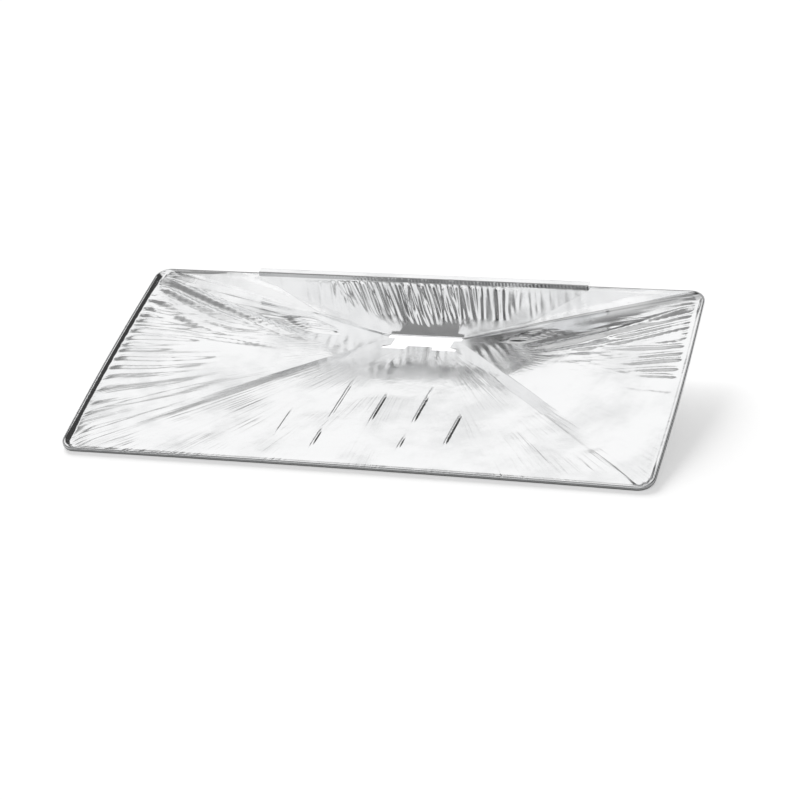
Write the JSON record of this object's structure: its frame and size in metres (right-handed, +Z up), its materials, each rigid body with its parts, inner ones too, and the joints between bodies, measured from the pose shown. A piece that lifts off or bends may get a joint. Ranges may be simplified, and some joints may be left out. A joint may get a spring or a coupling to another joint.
{
  "type": "foil drip pan",
  "caption": "Rectangular foil drip pan pressed as a shallow funnel, with rolled rim, hook flange and a drain slot at the foot of its back wall.",
  "frame": {"origin": "on the surface the pan lies on, under the middle of its outline", "axes": "+X along the width of the pan, +Y from the front of the rim to the back wall, +Z up from the surface"},
  "size_m": [0.6, 0.2858, 0.0695],
  "materials": {
    "foil": "bright wrinkled foil"
  },
  "bodies": {
    "root": {"foil_pan": "foil"}
  },
  "joints": []
}
